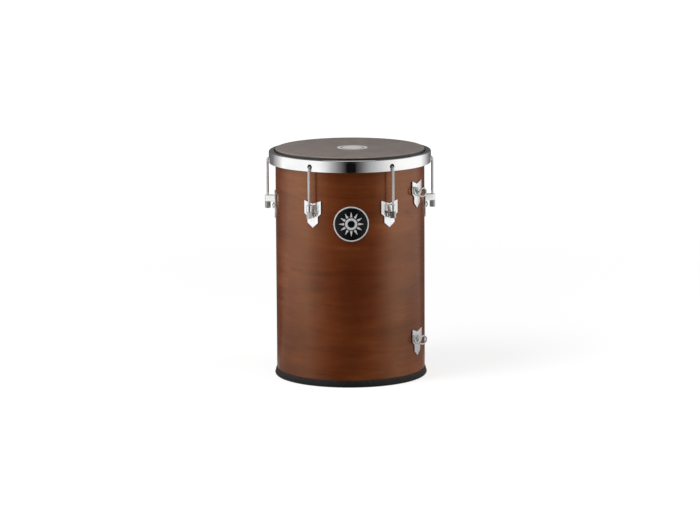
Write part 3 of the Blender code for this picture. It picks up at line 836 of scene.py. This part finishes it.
def hoop_label():
    """A blank black label on the front of the hoop."""
    half, height, sheet, corner, slice_width = 0.0091, 0.0182, 0.00008, 0.0008, 0.001
    low = HOOP_BOTTOM + 0.0006
    top = low + height
    outline = rounded([(-half, low), (half, low), (half, top), (-half, top)], corner, 6)
    flat = extruded("label", outline, sheet)
    upright = Matrix(((1, 0, 0, 0), (0, 0, -1, 0), (0, 1, 0, 0), (0, 0, 0, 1)))
    flat.transform(upright)
    mesh = wrapped(sliced(flat, half, slice_width), HOOP_OUTSIDE)
    add("hoop_label", mesh, ENAMEL, "head_assembly", [])


# Lugs and hooks


def thread_radius(turn, along, major, root, pitch):
    """The radius of a rolled thread at an angle and a height."""
    phase = (along / pitch - turn / (2 * pi)) % 1
    ridge = 1 - abs(2 * phase - 1)
    return root + (major - root) * min(max(1.5 * ridge - 0.25, 0), 1)


def threaded_rings(major, root, pitch, start, end, sides, steps=6):
    """Rings of (x, y, z) points along Z for a thread, fading out over its last pitch."""
    rings = []
    rows = int((end - start) / pitch * steps)
    for row in range(rows + 1):
        height = start + (end - start) * row / rows
        fade = min(1, (end - height) / pitch)
        ring = []
        for turn in round_turns(sides):
            radius = thread_radius(turn, height, major, root, pitch) * fade + root * (1 - fade)
            ring.append((radius * cos(turn), radius * sin(turn), height))
        rings.append(ring)
    return rings


def tension_hook():
    """The threaded rod stands outside the hoop and bends in through its hole."""
    sides, chamfer, runout = 28, 0.0007, 0.0006
    turns = round_turns(sides)

    def ring(out, up, lean, radius):
        """A ring about the rod's line, where lean is 0 on the upright and 90 degrees on the hook."""
        across = [radius * cos(turn) for turn in turns]
        aside = [radius * sin(turn) for turn in turns]
        return [(x, -(out + y * cos(lean)), up + y * sin(lean)) for x, y in zip(across, aside)]

    thread_foot, thread_top = ROD_END + chamfer, ROD_END + THREAD_LENGTH
    thread = threaded_rings(THREAD_RADIUS, THREAD_ROOT, THREAD_PITCH, thread_foot, thread_top, sides)
    rings = [ring(ROD_AXIS, ROD_END, 0, THREAD_ROOT - chamfer / 2)]
    rings += [[(x, -ROD_AXIS - y, z) for x, y, z in row] for row in thread]
    rings += [ring(ROD_AXIS, thread_top + runout, 0, SHANK_RADIUS)]
    bend_foot = HOOK_HEIGHT - HOOK_BEND
    for step in range(13):
        lean = pi / 2 * step / 12
        out = ROD_AXIS - HOOK_BEND + HOOK_BEND * cos(lean)
        rings.append(ring(out, bend_foot + HOOK_BEND * sin(lean), lean, SHANK_RADIUS))
    tip = HOOP_INSIDE - HOOK_INSIDE
    nose = SHANK_RADIUS / 2
    for step in range(7):
        swing = pi / 2 * step / 6
        radius = SHANK_RADIUS - nose + nose * cos(swing)
        rings.append(ring(tip + nose - nose * sin(swing), HOOK_HEIGHT, pi / 2, radius))
    return skinned("tension_hook", rings, crease=50)


def hexagon(across, edge):
    """A hexagon with a corner on Y."""
    corner = across / 2 / cos(pi / 6)
    points = [(-corner * sin(pi / 3 * side), corner * cos(pi / 3 * side)) for side in range(6)]
    return rounded(points, edge, 4)


def chamfered_nut(name, across, bottom, height, chamfer, bore, sides=96):
    """A hexagon nut with both ends chamfered to a circle and a countersunk bore."""
    corner = across / 2 / cos(pi / 6)
    top = bottom + height
    low = chamfer * 0.55
    barrel = [(0, bottom), (corner - chamfer, bottom), (corner + GAP, bottom + low)]
    barrel += [(corner + GAP, top - low), (corner - chamfer, top), (0, top)]
    prism = extruded(name, hexagon(across, 0.0003), height + 2 * GAP, bottom - GAP)
    blank = combined(prism, turned("barrel", barrel, sides), "INTERSECT", 20)
    countersink = 0.0005
    wide, below, above = bore + countersink, bottom - height, bottom + 2 * height
    drill = [(0, below), (wide, below), (wide, bottom), (bore, bottom + countersink)]
    drill += [(bore, top - countersink), (wide, top), (wide, above), (0, above)]
    return combined(blank, turned("bore", drill, 40), "DIFFERENCE", 20)


def fishtail(name, hole, studs, bolt_tip):
    """A flat plate with a notched top and a pointed stem, its top corners at height 0."""
    right = [(PLATE_HALF_WIDTH, 0), (PLATE_HALF_WIDTH, -SHOULDER_DROP)]
    right += [(STEM_HALF_WIDTH, -STEM_DROP), (STEM_HALF_WIDTH, -POINT_DROP)]
    left = [(-across, up) for across, up in reversed(right)]
    corners = [(0, -NOTCH_DEPTH), *right, (0, -PLATE_HEIGHT), *left]
    sharp, blunt = 0.0005, 0.0009
    radii = [sharp, sharp, blunt, blunt, blunt, sharp, blunt, blunt, blunt, sharp]
    flat = extruded(name, rounded(corners, radii, 4), PLATE_SHEET)
    if hole is not None:
        tool = pin("drill", BOLT_RADIUS + GAP, -PLATE_SHEET, 2 * PLATE_SHEET)
        tool.transform(Matrix.Translation((0, hole, 0)))
        flat = combined(flat, tool, "DIFFERENCE")
    front = PLATE_SHEET * 0.99
    plate = softened(flat, 0.0003, lambda place: place.z > front, 3)
    plate.transform(Matrix.Translation((0, -PLATE_BACK, 0)) @ ALONG_RADIUS)
    rooted = PLATE_BACK + PLATE_SHEET / 2
    pins = [(threaded_pin(bolt_tip, rooted), facing_out(0, height)) for height in studs]
    return combined(plate, joined("studs", pins), "UNION")


def threaded_pin(tip, root):
    """A stud with a thread over its inner end, made along Z from the tip outwards."""
    sides, length, chamfer = 20, 0.009, 0.0004
    turns = round_turns(sides)

    def ring(radius, height):
        return [(radius * cos(turn), radius * sin(turn), height) for turn in turns]

    rings = [ring(BOLT_ROOT - chamfer / 2, tip)]
    rings += threaded_rings(BOLT_RADIUS, BOLT_ROOT, BOLT_PITCH, tip + chamfer, tip + length, sides, 5)
    rings += [ring(BOLT_RADIUS, tip + length + chamfer), ring(BOLT_RADIUS, root)]
    return skinned("pin", rings, crease=50)


def lug_loop():
    """A strap round the rod, whose straight legs run from its round end to the plate."""
    outer = THREAD_RADIUS + LOOP_PLAY + LOOP_SHEET
    reach = ROD_AXIS - ON_PLATE
    flare = acos(outer / hypot(LOOP_FOOT, reach)) - atan2(reach, LOOP_FOOT)
    inner_foot = LOOP_FOOT - LOOP_SHEET / cos(flare)
    start, end = degrees(flare), 180 - degrees(flare)

    def side(radius, foot):
        return [(foot, -reach), *arc((0, 0), radius, start, end, 32), (-foot, -reach)]

    outline = side(outer, LOOP_FOOT) + list(reversed(side(outer - LOOP_SHEET, inner_foot)))
    height = LOOP_TOP - LOOP_BOTTOM
    flat = extruded("lug_loop", outline, height)
    soft = softened(flat, 0.0003, lambda place: place.z < 1e-5 or place.z > height - 1e-5, 3)
    soft.transform(Matrix.Translation((0, -ROD_AXIS, LOOP_BOTTOM)) @ Matrix.Rotation(pi, 4, "Z"))
    return soft


def lug_bolt(tip):
    """Turned about Z, which points out of the drum: heights are distances from the drum's axis."""
    rim, edge = 0.0006, 0.00015
    rise = arc((0, 0), 1, 90, 0, 14)
    dome = [(DOME_RADIUS * out, ON_PLATE + rim + (DOME_HEIGHT - rim) * up) for out, up in rise]
    dome[0] = (0, ON_PLATE + DOME_HEIGHT)
    dome += [(DOME_RADIUS, ON_PLATE + edge), (DOME_RADIUS - edge, ON_PLATE), (0, ON_PLATE)]
    head = turned("bolt_head", dome, 64)
    return combined(head, threaded_pin(tip, ON_PLATE + rim), "UNION")


def inner_nut(back, seat):
    """A flanged hexagon nut inside the shell. Z points out of the drum."""
    collar_radius, collar_height = 0.0045, 0.0005
    flange = seat - FLANGE_SHEET
    rim = [(0, flange - collar_height), (collar_radius, flange - collar_height)]
    rim += [(FLANGE_RADIUS, flange), (FLANGE_RADIUS, seat), (0, seat)]
    disc = turned("flange", rim, 48)
    height = FLANGE_SHEET / 2 + flange - back
    bore = BOLT_RADIUS + GAP
    prism = chamfered_nut("inner_nut", INNER_NUT_ACROSS, back, height, INNER_NUT_CHAMFER, bore)
    whole = combined(disc, prism, "UNION", 20)
    drill = pin("bore", bore, back - FLANGE_SHEET, seat + FLANGE_SHEET, 40)
    return combined(whole, drill, "DIFFERENCE", 20)


def radial_ends(node, azimuth):
    """The nearest and farthest that a node reaches along its azimuth."""
    out = outward(azimuth)
    reach = [vert.co.dot(out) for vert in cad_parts[node].data.vertices]
    return min(reach), max(reach)


def lugs():
    bolt_tip = radial_ends("lug_bolt_1", LUG_AZIMUTHS[1])[0]
    nut_back, nut_seat = radial_ends("bolt_nut_1", LUG_AZIMUTHS[1])
    plate = fishtail("lug_plate", BOLT_HEIGHT - PLATE_TOP, [STUD_HEIGHT - PLATE_TOP], bolt_tip)
    loop, hook, bolt = lug_loop(), tension_hook(), lug_bolt(bolt_tip)
    nut_height, nut_bore = NUT_TOP - NUT_BOTTOM, THREAD_RADIUS + GAP
    nut = chamfered_nut("tension_nut", NUT_ACROSS, 0, nut_height, NUT_CHAMFER, nut_bore)
    small_nut = inner_nut(nut_back, nut_seat)
    for (lug, azimuth), nut_turn in zip(LUG_AZIMUTHS.items(), NUT_TURNS):
        turn = turn_to(azimuth)
        at_bolt, at_stud = facing_out(azimuth, BOLT_HEIGHT), facing_out(azimuth, STUD_HEIGHT)
        at_rod = turn @ Matrix.Translation((0, -ROD_AXIS, NUT_BOTTOM)) @ turn_to(nut_turn)
        pieces = [
            ("lug_plate", plate, PLATED, "drum", "chrome", turn @ Matrix.Translation((0, 0, PLATE_TOP))),
            ("lug_loop", loop, SHADED_LOOP_CHROME, "drum", "chrome", turn),
            ("lug_bolt", bolt, CHROME, "drum", "chrome", at_bolt),
            ("bolt_nut", small_nut, ZINC, "drum", "zinc_steel", at_bolt),
            ("stud_nut", small_nut, ZINC, "drum", "zinc_steel", at_stud),
            ("tension_hook", hook, ZINC, "head_assembly", "zinc_steel", turn),
            ("tension_nut", nut, SHADED_NUT_CHROME, f"nut_{lug}", "chrome", at_rod),
        ]
        for name, mesh, material, body, slot, matrix in pieces:
            add(f"{name}_{lug}", mesh, material, body, [f"{name}_{lug}"], matrix)


# Strap hooks


def strap_wire():
    """A closed wire with a round eye at each end and two strands that cross between them, at height 0."""
    over = 2 * WIRE_RADIUS + GAP
    rest = ON_PLATE + WIRE_RADIUS
    eyes = FRONT_EYE + REAR_EYE
    opening = 90 + degrees(asin(eyes / EYE_SPACING))
    steps = 72
    points = []
    for side, radius, lift in ((1, REAR_EYE, EYE_LIFT), (-1, FRONT_EYE, 0)):
        eye = arc((EYE_SPACING * radius / eyes, 0), radius, opening, -opening, steps)
        strand_end = eye[0][0]
        for step, (across, up) in enumerate(eye):
            share = (1 + side * cos(pi * step / steps)) / 2
            out = rest + over * share + (across - strand_end) * tan(lift)
            points.append((side * across, -out, up, 1))
    curve = bpy.data.curves.new("strap_wire", "CURVE")
    curve.dimensions = "3D"
    curve.bevel_depth = WIRE_RADIUS
    curve.bevel_resolution = 6
    spline = curve.splines.new("POLY")
    spline.points.add(len(points) - 1)
    spline.use_cyclic_u = True
    for point, place in zip(spline.points, points):
        point.co = place
    wire = placed("strap_wire", curve)
    mesh = finished_mesh(wire)
    bpy.data.objects.remove(wire)
    mesh.shade_smooth()
    return mesh


def strap_hooks():
    tip = radial_ends("strap_plate_upper", STRAP_AZIMUTH)[0]
    nut_back, nut_seat = radial_ends("strap_nut_upper_1", STRAP_AZIMUTH)
    wire, small_nut = strap_wire(), inner_nut(nut_back, nut_seat)
    turn = turn_to(STRAP_AZIMUTH)
    top = STRAP_TOPS["upper"]
    drops = [middle(f"strap_nut_upper_{number}").z - top for number in (1, 2)]
    plate = fishtail("strap_plate", None, drops, tip)
    for place, top in STRAP_TOPS.items():
        at_top = turn @ Matrix.Translation((0, 0, top))
        at_crossing = turn @ Matrix.Translation((WIRE_SHIFT, 0, top - CROSSING_DROP))
        at_crossing = at_crossing @ Matrix.Rotation(WIRE_TILT, 4, "Y")
        node = f"strap_plate_{place}"
        add(node, plate, PLATED, "drum", [node], at_top)
        node = f"strap_loop_{place}"
        add(node, wire, SATIN, "drum", [node], at_crossing)
        for number, drop in enumerate(drops, 1):
            node = f"strap_nut_{place}_{number}"
            at_stud = facing_out(STRAP_AZIMUTH, top + drop)
            add(node, small_nut, ZINC, "drum", [node], at_stud)


# Badge


RIM = 0.0026
RIM_HEIGHT = 0.002
DISH_FLOOR = 0.0008
INLAY = 0.0006
DISH = BADGE_RADIUS - RIM
INLAY_TOP = DISH_FLOOR + GAP + INLAY


def on_shell(flat):
    """Stands a flat piece, made with its front along Z, on the shell's front and bends it round."""
    flat.transform(ALONG_RADIUS)
    return wrapped(flat, PLATE_BACK)


def across_disc(radius, height, rings=14):
    return [(radius * ring / rings, height) for ring in range(rings + 1)]


def badge():
    """A round badge: a bright rim, a black inlay and a plain sun of raised rays."""
    at_badge = Matrix.Translation((0, 0, BADGE_HEIGHT))
    crowning = 0.0008
    profile = across_disc(DISH, DISH_FLOOR)
    for out, up in arc((0, 0), 1, 180, 0, 12):
        profile.append((BADGE_RADIUS - RIM / 2 * (1 - out), RIM_HEIGHT - crowning * (1 - up)))
    profile += [(BADGE_RADIUS, 0), *reversed(across_disc(DISH, 0))]
    rim = on_shell(turned("badge_plate", profile, 128))
    add("badge_plate", rim, SILVER, "drum", ["badge_plate"], at_badge)
    bottom = DISH_FLOOR + GAP
    disc = [*across_disc(DISH - GAP, INLAY_TOP), *reversed(across_disc(DISH - GAP, bottom))]
    inlay = on_shell(turned("badge_inlay", disc, 128))
    add("badge_inlay", inlay, ENAMEL, "drum", ["badge_inlay"], at_badge)
    add("badge_sun", on_shell(badge_sun()), SILVER, "drum", [], at_badge)


def badge_sun():
    """A ring with twelve pointed rays round it, raised a little above the inlay."""
    sheet, sunk = 0.00025, 0.00005
    low, high = INLAY_TOP - sunk, INLAY_TOP + sheet - sunk
    ring_out, ring_in = 0.0120, 0.0072
    rays, ray_foot, ray_tip, ray_half, ray_point = 12, 0.0142, 0.0252, 0.0025, 0.0006
    band = [(ring_in, low), (ring_out, low), (ring_out, high), (ring_in, high)]
    parts = [(turned("sun_ring", rounded(band, 0.0001, 2), 72), Matrix.Identity(4))]
    outline = [(-ray_half, ray_foot), (0, ray_foot - ray_point), (ray_half, ray_foot), (0, ray_tip)]
    ray = extruded("sun_ray", rounded(outline, 0.0003, 3), high - low, low)
    parts += [(ray, Matrix.Rotation(turn, 4, "Z")) for turn in round_turns(rays)]
    return joined("badge_sun", parts)


# Studio


STAGE_SIDES = 96
FLOOR_RADIUS = 25


def emptied(holder):
    """The node tree of a material or world, with nothing in it."""
    holder.use_nodes = True
    holder.node_tree.nodes.clear()
    return holder.node_tree


def stage_piece(name, bm, material):
    """The floor or a backdrop, which isn't part of the drum."""
    mesh = bpy.data.meshes.new(name)
    bm.to_mesh(mesh)
    bm.free()
    mesh.materials.append(material)
    thing = placed(name, mesh)
    return thing


def white_for_camera(tree):
    """1 for rays that show the background: seen straight, in gloss or through glass."""
    rays = put(tree, "ShaderNodeLightPath").outputs
    seen = sum_of(tree, "MAXIMUM", rays["Is Camera Ray"], rays["Is Glossy Ray"])
    return sum_of(tree, "MAXIMUM", seen, rays["Is Transmission Ray"])


def floor():
    """A pale floor that shows white, and keeps the drum's shadow."""
    material = bpy.data.materials.new("pale_floor")
    tree = emptied(material)
    lit = put(tree, "ShaderNodeBsdfDiffuse", {"Color": (0.50, 0.50, 0.49, 1)}).outputs[0]
    half_lit = put(tree, "ShaderNodeBsdfDiffuse", {"Color": (0.45, 0.45, 0.45, 1)}).outputs[0]
    place = own_place(tree)
    away = vector_of(tree, "LENGTH", place)["Value"]
    strength = spread(tree, away, 0.5, 3.0, 0.74, 1.0)
    glow = put(tree, "ShaderNodeEmission", {"Color": (1, 1, 1, 1), "Strength": strength}).outputs[0]
    shown = put(tree, "ShaderNodeAddShader", {0: half_lit, 1: glow}).outputs[0]
    whole = put(tree, "ShaderNodeMixShader", {0: white_for_camera(tree), 1: lit, 2: shown}).outputs[0]
    put(tree, "ShaderNodeOutputMaterial", {"Surface": whole})
    bm = bmesh.new()
    bmesh.ops.create_circle(bm, cap_ends=True, segments=STAGE_SIDES, radius=FLOOR_RADIUS)
    stage_piece("floor", bm, material)


CLOTH_RADIUS = 0.62
CLOTH_HEIGHT = 2.2
CLOTH_FOOT = 0.9 * SHELL_RADIUS
CLOTH_RISE = 0.002
FLOOR_DARKNESS = 0.55
OVERHEAD_DARKNESS = 0.88
# How dark the hung cloths are, by degrees from the drum's front
CLOTH_DARKNESS = (
    (-180, 0.92), (-165, 0.88), (-150, 0.89), (-128, 0.83), (-108, 0.38), (-99, 0.0),
    (-39, 0.0), (-31, 0.22), (-22, 0.60), (-15, 0.80), (-7, 0.96), (-2, 1.0),
    (6, 0.98), (13, 0.88), (22, 0.67), (38, 0.38), (49, 0.18), (60, 0.05),
    (107, 0.0), (118, 0.36), (131, 0.74), (147, 0.90), (180, 0.92),
)


def dark_cloths():
    """Dark cloths hung and laid round the drum, which only its gloss sees."""
    material = bpy.data.materials.new("dark_cloths")
    tree = emptied(material)
    place = own_place(tree)
    parts = put(tree, "ShaderNodeSeparateXYZ", {0: place}).outputs
    turn = sum_of(tree, "ARCTAN2", parts["X"], sum_of(tree, "MULTIPLY", parts["Y"], -1.0))
    share = sum_of(tree, "MULTIPLY_ADD", turn, 1 / (2 * pi), 0.5)
    stops = [(angle / 360 + 0.5, (dark, dark, dark)) for angle, dark in CLOTH_DARKNESS]
    dark = toned(tree, share, stops)
    overhead = spread(tree, parts["Z"], 0.70, 1.00, 0.0, OVERHEAD_DARKNESS)
    on_floor = spread(tree, parts["Z"], 0.0, 0.30, FLOOR_DARKNESS, 0.0)
    dark = sum_of(tree, "MAXIMUM", sum_of(tree, "MAXIMUM", dark, overhead), on_floor)
    clear = put(tree, "ShaderNodeBsdfTransparent").outputs[0]
    black = {"Color": (0.004, 0.004, 0.004, 1), "Strength": 1.0}
    cloth = put(tree, "ShaderNodeEmission", black).outputs[0]
    whole = put(tree, "ShaderNodeMixShader", {0: dark, 1: clear, 2: cloth}).outputs[0]
    put(tree, "ShaderNodeOutputMaterial", {"Surface": whole})
    bm = bmesh.new()
    circles = [(CLOTH_FOOT, CLOTH_RISE), (CLOTH_RADIUS, CLOTH_RISE), (CLOTH_RADIUS, CLOTH_HEIGHT)]
    rows = []
    for radius, height in circles:
        ring = [(radius * cos(turn), radius * sin(turn), height) for turn in round_turns(STAGE_SIDES)]
        rows.append([bm.verts.new(point) for point in ring])
    for here, there in zip(rows, rows[1:]):
        for side in range(STAGE_SIDES):
            bm.faces.new((here[side], here[side - 1], there[side - 1], there[side]))
    cloths = stage_piece("dark_cloths", bm, material)
    cloths.visible_camera = False
    cloths.visible_diffuse = False
    cloths.visible_shadow = False
    cloths.visible_transmission = False


def soft_box(name, place, aim, strength, width, height):
    """A soft light that faces its aim. Gloss sees the white room in its place."""
    lamp = bpy.data.lights.new(name, "AREA")
    lamp.shape = "RECTANGLE"
    lamp.size = width
    lamp.size_y = height
    lamp.energy = strength * pi * width * height
    box = placed(name, lamp)
    box.location = place
    box.rotation_mode = "QUATERNION"
    box.rotation_quaternion = (box.location - aim).to_track_quat("Z", "Y")
    box.visible_camera = False
    box.visible_glossy = False


def soft_boxes():
    """A large soft light on each side and a small one high on the left."""
    aim, distance, width, height = Vector((0, 0, 0.95)), 1.5, 1.7, 1.9
    for name, azimuth, strength in (("left_box", -60, 2.15), ("right_box", 72, 2.05)):
        soft_box(name, aim + distance * outward(azimuth), aim, strength, width, height)
    soft_box("top_box", Vector((-0.8, -0.5, 1.8)), Vector((0, 0, 0.46)), 4.8, 0.7, 0.9)


def sky():
    """White where it shows, and a dimmer light from all round on the drum."""
    world = bpy.data.worlds.new("studio")
    bpy.context.scene.world = world
    tree = emptied(world)
    fill = put(tree, "ShaderNodeBackground", {"Color": (1, 1, 1, 1), "Strength": 0.12}).outputs[0]
    white = put(tree, "ShaderNodeBackground", {"Color": (1, 1, 1, 1), "Strength": 1.0}).outputs[0]
    whole = put(tree, "ShaderNodeMixShader", {0: white_for_camera(tree), 1: fill, 2: white}).outputs[0]
    put(tree, "ShaderNodeOutputWorld", {"Surface": whole})


# Photograph's view
IMAGE_WIDTH = 700
FOCAL_PIXELS = 3460.53
SENSOR = 36.0
CAMERA_DISTANCE = 7.0
CAMERA_ELEVATION = radians(9.744)
CAMERA_AZIMUTH = radians(-0.75)
CAMERA_ROLL = radians(-0.3118)
LOOK_AT = Vector((-0.0009, 0, 0.2273))


def camera():
    lens = bpy.data.cameras.new("camera")
    lens.sensor_width = SENSOR
    lens.lens = FOCAL_PIXELS / IMAGE_WIDTH * SENSOR
    lens.clip_start = 0.1
    lens.clip_end = 100
    eye = placed("camera", lens)
    across, along = sin(CAMERA_AZIMUTH), -cos(CAMERA_AZIMUTH)
    level = cos(CAMERA_ELEVATION)
    back = Vector((across * level, along * level, sin(CAMERA_ELEVATION)))
    eye.location = LOOK_AT + CAMERA_DISTANCE * back
    eye.rotation_mode = "QUATERNION"
    eye.rotation_quaternion = (-back).to_track_quat("-Z", "Y") @ Quaternion((0, 0, 1), CAMERA_ROLL)
    bpy.context.scene.camera = eye


camera()
sky()
floor()
dark_cloths()
soft_boxes()
bpy.context.scene.view_settings.view_transform = "Standard"

shell()
bottom_ring()
drumhead()
flesh_hoop()
counter_hoop()
hoop_label()
lugs()
strap_hooks()
badge()
